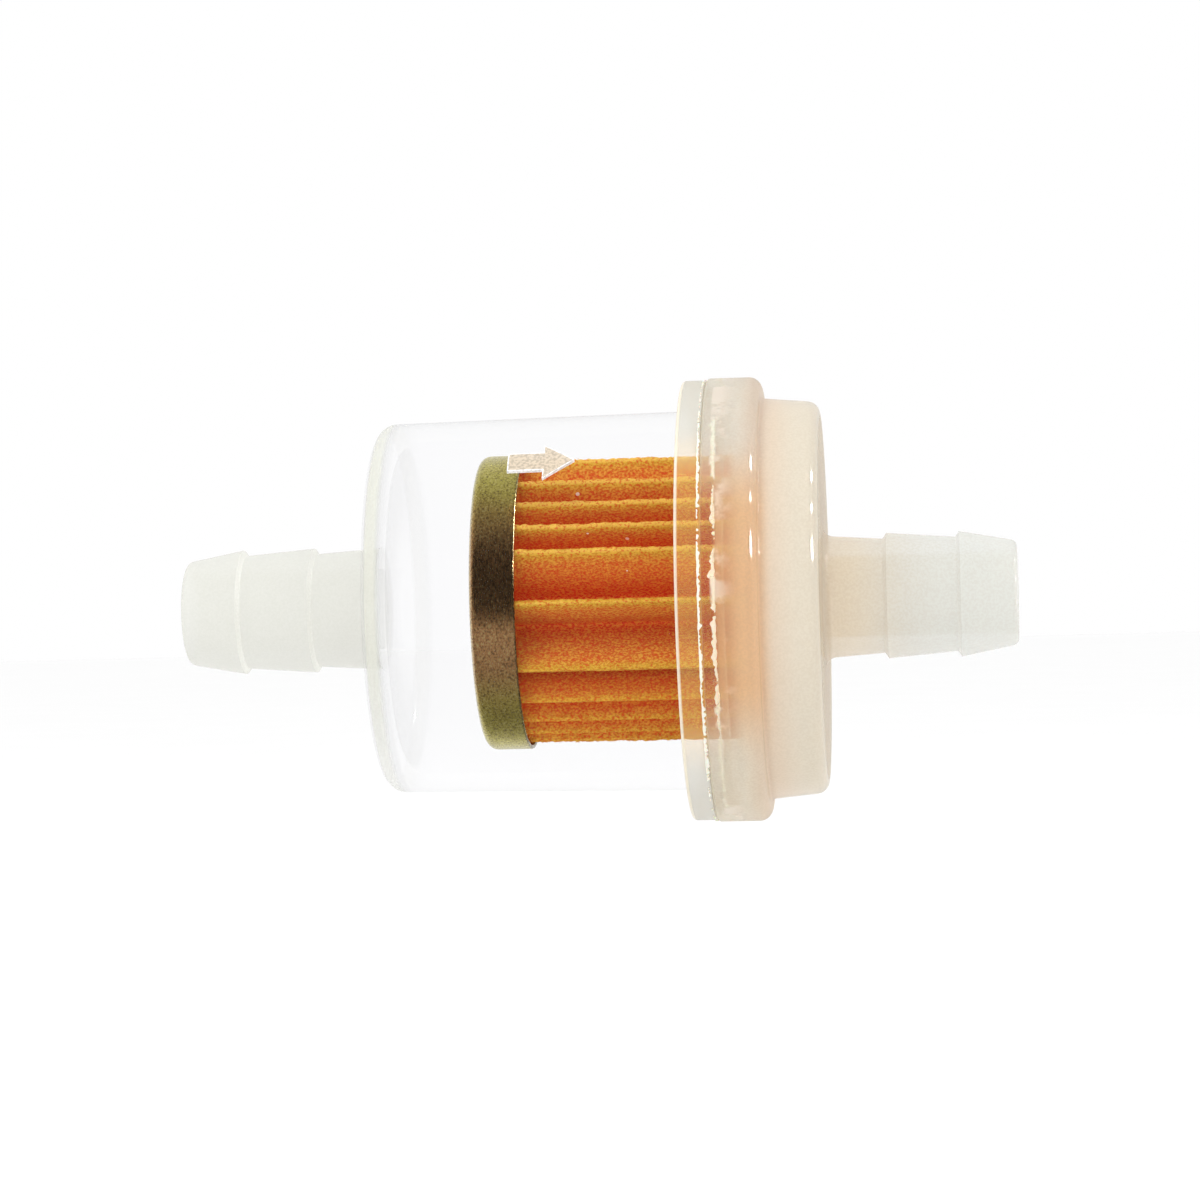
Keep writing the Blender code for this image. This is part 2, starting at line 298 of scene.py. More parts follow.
def clear_plastic():
    """Bowl: a clear wall, a milky corner and end wall, a cream flange with a painted orange glow of the paper, and a
    milky, translucent barb.
    """
    t = Tree("clear_plastic")
    x = t.axis("X")
    radius = t.radius()
    outside = t.ramp(radius, 12.7 * MM, 13.0 * MM)
    hub = t.math("MULTIPLY", t.ramp(x, -15.9 * MM, -15.65 * MM, 1.0, 0.0), t.ramp(radius, 4.9 * MM, 6.4 * MM, 1.0, 0.0))
    bore = t.ramp(radius, 3.3 * MM, 3.0 * MM)
    corner_zone = t.math("MULTIPLY", t.ramp(x, -14.6 * MM, -14.0 * MM, 1.0, 0.0), outside)
    shoulder_zone = t.math("MULTIPLY", t.ramp(x, -14.4 * MM, -11.5 * MM, 1.0, 0.0), outside)
    end_zone = t.ramp(x, -14.0 * MM, -13.6 * MM, 1.0, 0.0)
    flange_zone = t.ramp(x, 6.4 * MM, 6.5 * MM)
    flange_skin = t.math("MULTIPLY", flange_zone, t.ramp(radius, 13.8 * MM, 14.6 * MM))
    # painted highlight: a thin light line round the flange's left edge, where its rounded corner catches light; it also
    # makes the plastic denser there
    flange_edge_highlight = t.math("MULTIPLY", t.ramp(x, 6.40 * MM, 6.50 * MM), t.ramp(x, 6.62 * MM, 6.74 * MM, 1.0, 0.0))
    flange_edge_highlight = t.math("MULTIPLY", flange_edge_highlight, t.ramp(radius, 15.2 * MM, 15.4 * MM))
    mottle = t.noise(1.2, 3.0)
    grain = t.noise(0.16, 3.0)
    facing = t.add("ShaderNodeLayerWeight", {"Blend": 0.5}).outputs["Facing"]
    edge = t.math("POWER", facing, 9.0)
    # painted shade: a grey line along the wall's outline, strong on the upper half and faint below, stands in for the
    # dark edge of the clear wall
    up = t.ramp(t.axis("Z"), 2.0 * MM, 12.0 * MM, 0.1, 1.0)
    painted_outline_shade = t.math("MULTIPLY", t.math("MULTIPLY", edge, outside), t.math("MULTIPLY", up, 0.5))
    painted_outline_shade = t.math("MULTIPLY", painted_outline_shade, t.ramp(grain, 0.35, 0.6, 0.5, 1.0))
    painted_outline_shade = t.math("MULTIPLY", painted_outline_shade, t.ramp(x, -14.4 * MM, -13.6 * MM))
    inside = t.add("ShaderNodeNewGeometry").outputs["Backfacing"]

    opacity = t.math("ADD", 0.004, painted_outline_shade)
    opacity = t.math("ADD", opacity, t.math("MULTIPLY", shoulder_zone, 0.045))
    height = t.axis("Z")
    towards_back = t.ramp(t.axis("Y"), -1.0 * MM, 8.0 * MM, 1.0, 0.35)
    fade = t.math("MULTIPLY", t.ramp(height, -12.5 * MM, -3.0 * MM, 0.4, 1.0), towards_back)
    fade = t.math("MULTIPLY", fade, t.ramp(height, 8.0 * MM, 13.0 * MM, 1.0, 0.7))
    opacity = t.math("ADD", opacity, t.math("MULTIPLY", t.math("MULTIPLY", corner_zone, fade), 0.70))
    end_haze = t.math("MULTIPLY", t.ramp(radius, 3.0 * MM, 9.0 * MM, 0.01, 0.12), towards_back)
    opacity = t.math("ADD", opacity, t.math("MULTIPLY", end_zone, end_haze))
    # painted glow: the orange of the paper's light, painted into the flange round the middle height, where it also
    # makes the flange denser
    painted_paper_glow = t.ramp(t.math("ABSOLUTE", t.axis("Z")), 7.5 * MM, 12.5 * MM, 1.0, 0.0)
    flange_haze = t.math("ADD", t.between(painted_paper_glow, 0.45, 0.24), t.math("MULTIPLY", facing, 0.5))
    opacity = t.math("ADD", opacity, t.math("MULTIPLY", flange_skin, flange_haze))
    opacity = t.math("ADD", opacity, t.math("MULTIPLY", flange_edge_highlight, 0.45), clamp=True)
    opacity = t.between(hub, opacity, t.math("SUBTRACT", 0.66, t.math("MULTIPLY", bore, 0.50)))
    opacity = t.math("MULTIPLY", opacity, t.between(inside, 1.0, 0.25))

    haze = t.mix(corner_zone, (0.42, 0.43, 0.45), (0.72, 0.73, 0.66))
    haze = t.mix(hub, haze, (0.66, 0.66, 0.60))
    # painted highlight: lighter rings on the barb's crest shoulders, where the thin edges catch light
    for crest in (FIRST_CREST, FIRST_CREST - BARB_PITCH):
        before = t.ramp(x, (-crest - 0.02) * MM, (-crest + 0.03) * MM)
        after = t.ramp(x, (SHOULDER - crest) * MM, (SHOULDER - crest + 0.06) * MM, 1.0, 0.0)
        haze = t.mix(t.math("MULTIPLY", t.math("MULTIPLY", before, after), hub), haze, (0.81, 0.81, 0.735))
    haze = t.mix(flange_zone, haze, t.mix(painted_paper_glow, (0.60, 0.59, 0.505), (0.94, 0.60, 0.14)))
    haze = t.mix(flange_edge_highlight, haze, (0.90, 0.85, 0.70))
    haze = t.mix(t.math("MULTIPLY", mottle, 0.12), haze, (0.66, 0.66, 0.55))
    haze = t.mix(t.ramp(grain, 0.35, 0.65, 0.16, 0.0), haze, (0.5, 0.5, 0.42))
    front = t.add(
        "ShaderNodeBsdfPrincipled",
        {
            "Base Color": haze,
            "Roughness": t.ramp(grain, 0.3, 0.7, 0.3, 0.42),
            "Specular IOR Level": 0.3,
            "Normal": t.bump(grain, 0.15, 0.02),
        },
    ).outputs[0]
    through = t.add("ShaderNodeBsdfTranslucent", {"Color": haze}).outputs[0]
    body = t.blend(t.ramp(flange_zone, 0.0, 1.0, 0.35, 0.2), front, through)
    clearness = t.mix(outside, (0.998, 0.998, 0.999), (0.992, 0.992, 0.995))
    window = t.add("ShaderNodeBsdfTransparent", {"Color": clearness}).outputs[0]
    gloss = t.add("ShaderNodeBsdfGlossy", {"Roughness": 0.06}).outputs[0]
    shine = t.math("MULTIPLY", outside, t.ramp(t.math("POWER", facing, 4.0), 0.0, 1.0, 0.004, 0.12))
    return t.show(t.blend(shine, t.blend(opacity, window, body), gloss))


def milky_plastic():
    """Cap: see-through at the joint, with a painted orange glow of the paper there, and denser towards the outlet."""
    t = Tree("milky_plastic")
    x = t.axis("X")
    radius = t.radius()
    mottle = t.noise(2.2, 3.0)
    grain = t.noise(0.18, 3.0)
    facing = t.add("ShaderNodeLayerWeight", {"Blend": 0.5}).outputs["Facing"]
    bore = t.ramp(radius, 3.3 * MM, 3.0 * MM)
    skin = t.ramp(radius, 12.9 * MM, 13.3 * MM)
    collar_skin = t.ramp(radius, 15.2 * MM, 15.5 * MM)
    cleared = t.ramp(x, 9.0 * MM, 9.5 * MM, 1.0, 0.0)
    solid = t.ramp(x, 11.7 * MM, 13.2 * MM)
    to_tip = t.ramp(x, 16.5 * MM, 25.0 * MM)
    chalk = t.math("MULTIPLY", t.ramp(x, 8.8 * MM, 9.0 * MM), t.ramp(x, 9.1 * MM, 10.8 * MM, 1.0, 0.0))
    chalk = t.math("MULTIPLY", chalk, t.ramp(t.noise(2.6, 4.0), 0.50, 0.62))
    chalk = t.math("MULTIPLY", chalk, collar_skin)

    # painted shade: the collar shifts warmer towards the bottom, to match how it is lit
    collar = t.mix(t.ramp(t.axis("Z"), -14.0 * MM, 14.0 * MM), (0.86, 0.86, 0.76), (0.83, 0.85, 0.79))
    # painted glow: the orange of the paper's light, painted into the collar round the middle height, where it also
    # makes the collar clearer
    painted_paper_glow = t.ramp(t.math("ABSOLUTE", t.axis("Z")), 5.5 * MM, 11.5 * MM, 1.0, 0.0)
    collar = t.mix(painted_paper_glow, collar, (0.90, 0.67, 0.41))
    colour = t.mix(solid, collar, (0.74, 0.695, 0.59))
    # painted glow: a peach tint past the paper's end stands in for the paper's light scattered into the cap
    painted_paper_bleed = t.math("MULTIPLY", t.ramp(x, 10.5 * MM, 12.2 * MM), t.ramp(x, 12.2 * MM, 15.0 * MM, 1.0, 0.0))
    colour = t.mix(t.math("MULTIPLY", painted_paper_bleed, 0.35), colour, (0.80, 0.56, 0.40))
    # painted light: the stub's root is made warmer and lighter, standing in for the paper's light scattered into it
    root = t.math("MULTIPLY", t.ramp(x, 16.2 * MM, 16.8 * MM), t.ramp(x, 17.5 * MM, 23.0 * MM, 1.0, 0.0))
    colour = t.mix(root, colour, (0.86, 0.77, 0.59))
    colour = t.mix(to_tip, colour, (0.715, 0.75, 0.73))
    colour = t.mix(t.math("MULTIPLY", mottle, 0.12), colour, (0.78, 0.68, 0.50))
    colour = t.mix(t.ramp(grain, 0.35, 0.65, 0.16, 0.0), colour, (0.52, 0.44, 0.32))
    colour = t.mix(t.math("MULTIPLY", chalk, 0.7), colour, (0.96, 0.94, 0.88))
    opacity = t.between(cleared, t.ramp(x, 9.4 * MM, 11.3 * MM, 0.44, 0.90), t.between(painted_paper_glow, 0.5, 0.12))
    opacity = t.math("MULTIPLY", opacity, t.ramp(skin, 0.0, 1.0, 0.3, 1.0))
    opacity = t.math("ADD", opacity, t.math("MULTIPLY", t.math("MULTIPLY", facing, skin), 0.35))
    opacity = t.math("ADD", opacity, t.math("MULTIPLY", solid, 0.22), clamp=True)
    opacity = t.math("ADD", opacity, t.math("MULTIPLY", chalk, 0.45), clamp=True)
    opacity = t.math("MULTIPLY", opacity, t.ramp(bore, 0.0, 1.0, 1.0, 0.5))
    front = t.add(
        "ShaderNodeBsdfPrincipled",
        {
            "Base Color": colour,
            "Roughness": t.ramp(grain, 0.3, 0.7, 0.3, 0.45),
            "Specular IOR Level": 0.0,
            "Coat Weight": 0.7,
            "Coat Roughness": 0.035,
            "Normal": t.bump(grain, 0.15, 0.02),
        },
    ).outputs[0]
    through = t.add("ShaderNodeBsdfTranslucent", {"Color": colour}).outputs[0]
    body = t.blend(t.ramp(solid, 0.0, 1.0, 0.6, 0.3), front, through)
    window = t.add("ShaderNodeBsdfTransparent", {"Color": (0.995, 0.985, 0.975, 1.0)}).outputs[0]
    return t.show(t.blend(opacity, window, body))


def weld_plastic():
    """Melted flash: chalky white, with torn patches that let the paper show."""
    t = Tree("weld_flash")
    crumbs = t.noise(0.25, 4.0)
    colour = t.mix(crumbs, (0.88, 0.86, 0.78), (0.74, 0.68, 0.54))
    body = t.add(
        "ShaderNodeBsdfPrincipled",
        {
            "Base Color": colour,
            "Roughness": t.ramp(crumbs, 0.3, 0.7, 0.35, 0.6),
            "Subsurface Weight": 0.4,
            "Subsurface Scale": 0.0008,
            "Normal": t.bump(crumbs, 0.4, 0.05),
        },
    ).outputs[0]
    return t.show(body)


def passivated_steel():
    """Pressed cup: zinc with a yellow-olive passivation in broad stains, and browner in a band round the middle height.
    """
    t = Tree("passivated_steel")
    stain = t.noise(6.0, 3.0)
    speck = t.noise(0.16, 4.0)
    brushed = t.noise(0.5, 3.0, stretch=(6.0, 1.0, 1.0))
    height = t.axis("Z")
    # browner in a band round the middle height, set by height alone
    brown = t.math("MULTIPLY", t.ramp(height, -8.5 * MM, -4.0 * MM), t.ramp(height, 3.0 * MM, 9.5 * MM, 1.0, 0.0))
    colour = t.mix(t.ramp(stain, 0.35, 0.65), (0.56, 0.50, 0.105), (0.44, 0.36, 0.075))
    colour = t.mix(t.math("MULTIPLY", brown, 0.85), colour, (0.56, 0.26, 0.125))
    along = t.axis("X")
    # painted highlight: a light line on the cup's rounded floor edge, where it catches light
    painted_rim_highlight = t.ramp(along, (CUP_START + 0.05) * MM, (CUP_START + 0.28) * MM, 0.6, 0.0)
    colour = t.mix(painted_rim_highlight, colour, (0.88, 0.86, 0.66))
    # painted shade: dark patches along the cut rim, which break its reflected light into dashes
    cut_rim = t.ramp(along, (CUP_START + CUP_LENGTH - 0.16) * MM, (CUP_START + CUP_LENGTH - 0.06) * MM)
    painted_rim_gaps = t.math("MULTIPLY", cut_rim, t.ramp(brushed, 0.38, 0.52, 0.25, 0.95))
    colour = t.mix(painted_rim_gaps, colour, (0.10, 0.085, 0.045))
    colour = t.mix(t.ramp(speck, 0.50, 0.64, 0.0, 0.7), colour, (0.14, 0.09, 0.04))
    colour = t.mix(t.ramp(speck, 0.34, 0.47, 0.5, 0.0), colour, (0.74, 0.63, 0.28))
    body = t.add(
        "ShaderNodeBsdfPrincipled",
        {
            "Base Color": colour,
            "Metallic": 1.0,
            "Roughness": t.ramp(brushed, 0.3, 0.7, 0.2, 0.32),
            "Normal": t.bump(t.math("ADD", speck, brushed), 0.3, 0.02),
        },
    ).outputs[0]
    return t.show(body)


def filter_paper():
    """Resin-treated paper with a fibrous mottle; its yellow folds and deep orange-red valleys are painted light and
    shade, and a painted red glow stands in for light bounced between the folds.
    """
    t = Tree("filter_paper")
    depth = t.add("ShaderNodeMapRange", {"Value": t.radius(), 1: 6.1 * MM, 2: 10.25 * MM}).outputs[0]
    fibre = t.noise(0.15, 4.0, stretch=(0.8, 1.0, 1.0))
    cloud = t.noise(1.4, 2.0)
    # painted light and shade: the colour follows the depth in the folds
    ramp = t.add("ShaderNodeValToRGB", {0: depth})
    stops = ramp.color_ramp.elements
    for position, colour in PAPER_SHADING_BY_DEPTH[1:-1]:
        stops.new(position).color = (*colour, 1.0)
    stops[0].color = (*PAPER_SHADING_BY_DEPTH[0][1], 1.0)
    stops[len(stops) - 1].color = (*PAPER_SHADING_BY_DEPTH[-1][1], 1.0)
    colour = t.mix(t.ramp(fibre, 0.46, 0.64, 0.0, 0.65), ramp.outputs[0], (0.86, 0.54, 0.080))
    colour = t.mix(t.ramp(fibre, 0.34, 0.52, 0.8, 0.0), colour, (0.66, 0.055, 0.018))
    colour = t.mix(t.math("MULTIPLY", cloud, 0.12), colour, (0.66, 0.24, 0.03))
    cells = t.add("ShaderNodeTexVoronoi", {"Vector": t.place, "Scale": 1100.0})
    rare = t.math("GREATER_THAN", t.add("ShaderNodeSeparateColor", {0: cells.outputs["Color"]}).outputs[0], 0.985)
    core = t.math("LESS_THAN", cells.outputs["Distance"], 0.16)
    colour = t.mix(t.math("MULTIPLY", rare, core), colour, (0.95, 0.90, 0.78))
    height = t.axis("Z")
    # painted glow: a red emission stands in for light bounced between the folds; it is stronger in the valleys and
    # weakest in a band just below the axis
    painted_bounce_glow = t.math("ADD", t.ramp(height, -2.0 * MM, 3.5 * MM, 0.04, 0.16), t.ramp(height, -6.0 * MM, -4.6 * MM, 0.12, 0.0))
    front = t.add(
        "ShaderNodeBsdfPrincipled",
        {
            "Base Color": colour,
            "Roughness": 0.9,
            "Specular IOR Level": 0.1,
            "Emission Color": (1.0, 0.10, 0.02, 1.0),
            "Emission Strength": t.math("MULTIPLY", painted_bounce_glow, t.ramp(depth, 0.5, 1.0, 1.0, 0.25)),
            "Normal": t.bump(fibre, 0.7, 0.07),
        },
    ).outputs[0]
    through = t.add("ShaderNodeBsdfTranslucent", {"Color": colour}).outputs[0]
    return t.show(t.blend(0.25, front, through))


def adhesive():
    t = Tree("adhesive")
    cloud = t.noise(0.9, 3.0)
    body = t.add(
        "ShaderNodeBsdfPrincipled",
        {
            "Base Color": t.mix(cloud, (0.80, 0.74, 0.60), (0.62, 0.48, 0.32)),
            "Roughness": t.ramp(cloud, 0.3, 0.7, 0.3, 0.5),
            "Normal": t.bump(cloud, 0.3, 0.1),
        },
    ).outputs[0]
    return t.show(body)


def arrow_plastic(name, colour, opacity, roughness):
    """Frosted raised plastic, or one of the arrow's edges, which carry a painted highlight and a painted shade."""
    t = Tree(name)
    grain = t.noise(0.2, 3.0)
    body = t.add(
        "ShaderNodeBsdfPrincipled",
        {
            "Base Color": t.mix(t.ramp(grain, 0.38, 0.58), tuple(c * 0.7 for c in colour), colour),
            "Roughness": roughness,
            "Normal": t.bump(grain, 0.35, 0.03),
        },
    ).outputs[0]
    window = t.add("ShaderNodeBsdfTransparent").outputs[0]
    return t.show(t.blend(opacity, window, body))


# ---------------------------------------------------------------- pieces

def make_bowl(material):
    corners = [
        (RIM_R, RIM_END, 0.12),
        (RIM_R, RIM_START, 0.3),
        (BOWL_RIM_R, RIM_START, 0.3),
        (BOWL_END_R, BOWL_END, 1.3),
        (STUB_R, BOWL_END, 0.5),
        *reversed(barb(-1)),
        (BORE_R, -HALF_LENGTH, 0.12),
        (BORE_R, BOWL_END + END_WALL, 0.2),
        (BOWL_END_R - BOWL_WALL, BOWL_END + END_WALL, 1.3),
        (BOWL_RIM_R - BOWL_WALL, RIM_END, 0.1),
    ]
    mesh = turned_mesh("bowl_shell", outline(corners))
    mesh.materials.append(material)
    return add_piece("bowl_shell", mesh, ["inlet_bowl"])


def make_cap(material):
    start = RIM_END + JOINT_GAP
    corners = [
        *barb(1),
        (STUB_R, CAP_END, 0.75),
        (STEP_END_R, CAP_END, 0.9),
        (STEP_R, COLLAR_END, 0.25),
        (COLLAR_R, COLLAR_END, 0.9),
        (COLLAR_R, start, 0.2),
        (REBATE_R, start, 0.0),
        (REBATE_R, REBATE_END, 0.0),
        (POCKET_R, REBATE_END, 0.2),
        (POCKET_R, POCKET_FLOOR, 0.3),
        (PLENUM_R, POCKET_FLOOR, 0.2),
        (PLENUM_R, PLENUM_END, 0.3),
        (BORE_R, PLENUM_END, 0.2),
        (BORE_R, HALF_LENGTH, 0.12),
    ]
    mesh = turned_mesh("cap_shell", outline(corners))
    mesh.materials.append(material)
    return add_piece("cap_shell", mesh, ["outlet_cap"])


def make_cup(material):
    rim, floor = CUP_START + CUP_LENGTH, CUP_START
    inner = CUP_R - CUP_SHEET
    corners = [
        (CUP_R, rim, 0.12),
        (CUP_R, floor, CUP_CORNER),
        (0.02, floor, 0.0),
        (0.02, floor + CUP_SHEET, 0.0),
        (inner, floor + CUP_SHEET, CUP_CORNER - CUP_SHEET),
        (inner, rim, 0.12),
    ]
    mesh = turned_mesh("element_cup", outline(corners), ELEMENT_LIFT)
    mesh.materials.append(material)
    return add_piece("element_cup", mesh, ["element_cap"])


def crest_angles():
    """Angles of the folds in degrees, from the seam round the front and back to the seam."""
    front = sorted(FRONT_CRESTS)
    low = SEAM_ANGLE - 360.0
    under = round((front[0] - low) / BACK_PITCH)
    over = round((SEAM_ANGLE - front[-1]) / BACK_PITCH)
    angles = [low + (front[0] - low) * i / under for i in range(1, under)]
    angles = [a + random.uniform(-1.2, 1.2) for a in angles] + front
    more = [front[-1] + (SEAM_ANGLE - front[-1]) * i / over for i in range(1, over)]
    return angles + [a + random.uniform(-1.2, 1.2) for a in more]


def pleat_section():
    """The folded strip seen along the axis, as (radius, angle, how much of a crest it is)."""
    half_seam = math.degrees(0.45 / CREST_PAPER_R)
    crests = [SEAM_ANGLE - 360.0 + half_seam, *crest_angles(), SEAM_ANGLE - half_seam]
    section = []
    for i, (this, following) in enumerate(zip(crests, crests[1:])):
        lean = LEANING if following == LEANING_FOLD else random.uniform(0.44, 0.56)
        valley = this + (following - this) * lean
        fold = math.degrees(0.10 / CREST_PAPER_R)
        dip = math.degrees(0.22 / VALLEY_PAPER_R)
        left = this + (fold if i else 0.0)
        right = following - (fold if i < len(crests) - 2 else 0.0)
        section.append((CREST_PAPER_R, this, 1.0))
        for j in range(6):
            share = j / 5
            radius = CREST_PAPER_R - 0.1 - (CREST_PAPER_R - VALLEY_PAPER_R - 0.2) * share
            section.append((radius, left + (valley - dip - left) * share, 1 - share))
        section.append((VALLEY_PAPER_R, valley, 0.0))
        for j in range(6):
            share = j / 5
            radius = VALLEY_PAPER_R + 0.1 + (CREST_PAPER_R - VALLEY_PAPER_R - 0.2) * share
            section.append((radius, valley + dip + (right - valley - dip) * share, share))
    section.append((CREST_PAPER_R, crests[-1], 1.0))
    return section


def make_paper(material):
    section = pleat_section()
    mesh = bpy.data.meshes.new("pleat_pack")
    shape = bmesh.new()
    rows = []
    for i in range(PAPER_STEPS + 1):
        station = PAPER_START + (PAPER_END - PAPER_START) * i / PAPER_STEPS
        row = []
        for radius, degrees, crest in section:
            angle = math.radians(degrees)
            spot = Vector((station, radius * math.cos(angle), radius * math.sin(angle)))
            slow = noise.noise(Vector((station * 0.35, degrees * 0.9, radius * 0.1)))
            quick = noise.noise(Vector((station * 1.6, degrees * 1.7, radius * 0.4)))
            fine = noise.noise(spot * 3.1)
            fuzz = noise.noise(spot * 7.0)
            radius += crest * (0.04 * slow + 0.06 * quick + 0.07 * fuzz) + 0.03 * fine
            angle += (0.06 * slow + 0.03 * quick * crest + 0.04 * fine + 0.03 * fuzz) / radius
            row.append(shape.verts.new(on_ring(station, radius, angle, ELEMENT_LIFT)))
        rows.append(row)
    for row, following in zip(rows, rows[1:]):
        for j in range(len(section) - 1):
            shape.faces.new((row[j], row[j + 1], following[j + 1], following[j]))
    bmesh.ops.recalc_face_normals(shape, faces=shape.faces)
    shape.to_mesh(mesh)
    shape.free()
    smooth(mesh, math.radians(60))
    mesh.materials.append(material)
    piece = add_piece("pleat_pack", mesh, ["pleated_paper"])
    sheet = piece.modifiers.new("sheet", "SOLIDIFY")
    sheet.thickness = PAPER_THICK * MM
    sheet.offset = 0.0
    return piece


def tube(shape, points, radius, sides=5):
    """Adds a thin closed tube through the points to a bmesh."""
    rings = []
    for i, point in enumerate(points):
        ahead = points[min(i + 1, len(points) - 1)] - points[max(i - 1, 0)]
        across = ahead.orthogonal().normalized()
        other = ahead.cross(across).normalized()
        thin = radius * (0.5 if i in (0, len(points) - 1) else 1.0)
        ring = []
        for j in range(sides):
            turn = 2 * math.pi * j / sides
            ring.append(shape.verts.new(point + (across * math.cos(turn) + other * math.sin(turn)) * thin))
        rings.append(ring)
    for ring, following in zip(rings, rings[1:]):
        for j in range(sides):
            k = (j + 1) % sides
            shape.faces.new((ring[j], ring[k], following[k], following[j]))
    shape.faces.new(list(reversed(rings[0])))
    shape.faces.new(rings[-1])


def make_fibres(material):
    """Loose paper fibres that stand off the folds."""
    mesh = bpy.data.meshes.new("pleat_fibres")
    shape = bmesh.new()
    for degrees in crest_angles():
        for _ in range(36):
            station = random.uniform(PAPER_START + 1.5, PAPER_END - 0.4)
            angle = math.radians(degrees)
            root = on_ring(station, CREST_PAPER_R + 0.12, angle, ELEMENT_LIFT)
            outward = on_ring(0.0, 1.0, angle).normalized()
            lean = Vector((random.uniform(-1, 1), 0.0, 0.0)) + outward * random.uniform(0.05, 0.5)
            lean += outward.cross(Vector((1.0, 0.0, 0.0))) * random.uniform(-0.8, 0.8)
            lean = lean.normalized() * random.uniform(0.10, 0.26) * MM
            points = [root + lean * s - outward * (0.10 * s * s * MM) for s in (0.0, 0.35, 0.7, 1.0)]
            tube(shape, points, random.uniform(0.008, 0.016) * MM)
    bmesh.ops.recalc_face_normals(shape, faces=shape.faces)
    shape.to_mesh(mesh)
    shape.free()
    mesh.shade_smooth()
    mesh.materials.append(material)
    return add_piece("pleat_fibres", mesh)


def make_seam(material):
    """The bead of adhesive between the paper's two ends."""
    mesh = bpy.data.meshes.new("seam_bead")
    shape = bmesh.new()
    points = []
    for i in range(60):
        share = i / 59
        station = PAPER_START + 0.3 + (PAPER_END - PAPER_START - 0.6) * share
        wander = noise.noise(Vector((station * 0.8, 3.0, 0.0)))
        angle = math.radians(SEAM_ANGLE) + wander * 0.01
        points.append(on_ring(station, CREST_PAPER_R - 0.25 + 0.1 * wander, angle, ELEMENT_LIFT))
    tube(shape, points, 0.36 * MM, sides=14)
    bmesh.ops.recalc_face_normals(shape, faces=shape.faces)
    shape.to_mesh(mesh)
    shape.free()
    smooth(mesh)
    mesh.materials.append(material)
    return add_piece("seam_bead", mesh, ["paper_seam"])


def ragged_band(shape, radius, thick, left, right, steps=1200):
    """A band round the joint. left and right give its two edges at an angle. It breaks where they meet."""
    rings = []
    for i in range(steps):
        angle = 2 * math.pi * i / steps
        a, b = left(angle), right(angle)
        if b - a < 0.03:
            rings.append(None)
            continue
        low, high = radius - thick / 2, radius + thick / 2
        rings.append([shape.verts.new(on_ring(x, r, angle)) for x, r in ((a, low), (b, low), (b, high), (a, high))])
    for i, ring in enumerate(rings):
        before, following = rings[i - 1], rings[(i + 1) % steps]
        if ring and following:
            for j in range(4):
                k = (j + 1) % 4
                shape.faces.new((ring[j], ring[k], following[k], following[j]))
        if ring and following and not before:
            shape.faces.new(list(reversed(ring)))
        if ring and before and not following:
            shape.faces.new(ring)
    loose = [v for v in shape.verts if not v.link_faces]
    bmesh.ops.delete(shape, geom=loose, context="VERTS")


def around(angle, pace, seed):
    """Smooth noise round the axis, the same after a full turn."""
    return noise.noise(Vector((math.cos(angle) * pace, math.sin(angle) * pace, seed)))


def thinned(angle):
    """How much the flash thins out: 0 at the front and back, 1 at the top and bottom."""
    return min(1.0, max(0.0, 0.3 - math.cos(2 * angle)))


def make_weld(material):
    mesh = bpy.data.meshes.new("weld_flash")
    shape = bmesh.new()

    def line_left(angle):
        return RIM_END - 0.18 + 0.05 * around(angle, 30, 1.0)

    def line_right(angle):
        ragged = 0.16 * around(angle, 9, 2.0) + 0.22 * around(angle, 70, 3.0)
        return RIM_END - 0.02 + ragged - 0.16 * thinned(angle)

    def bead_left(angle):
        ragged = 0.30 * around(angle, 6, 4.0) + 0.22 * around(angle, 24, 5.0) + 0.16 * around(angle, 75, 6.0)
        return RIM_END + 0.84 + ragged + 0.10 * thinned(angle)

    def bead_right(angle):
        ragged = 0.10 * around(angle, 8, 7.0) + 0.08 * around(angle, 60, 8.0)
        return RIM_END + 1.04 + ragged - 0.10 * thinned(angle)

    ragged_band(shape, RIM_R + 0.02, 0.14, line_left, line_right)
    ragged_band(shape, COLLAR_R - 0.14, 0.24, bead_left, bead_right)
    bmesh.ops.recalc_face_normals(shape, faces=shape.faces)
    shape.to_mesh(mesh)
    shape.free()
    smooth(mesh, math.radians(50))
    mesh.materials.append(material)
    return add_piece("weld_flash", mesh, ["weld_ring"])


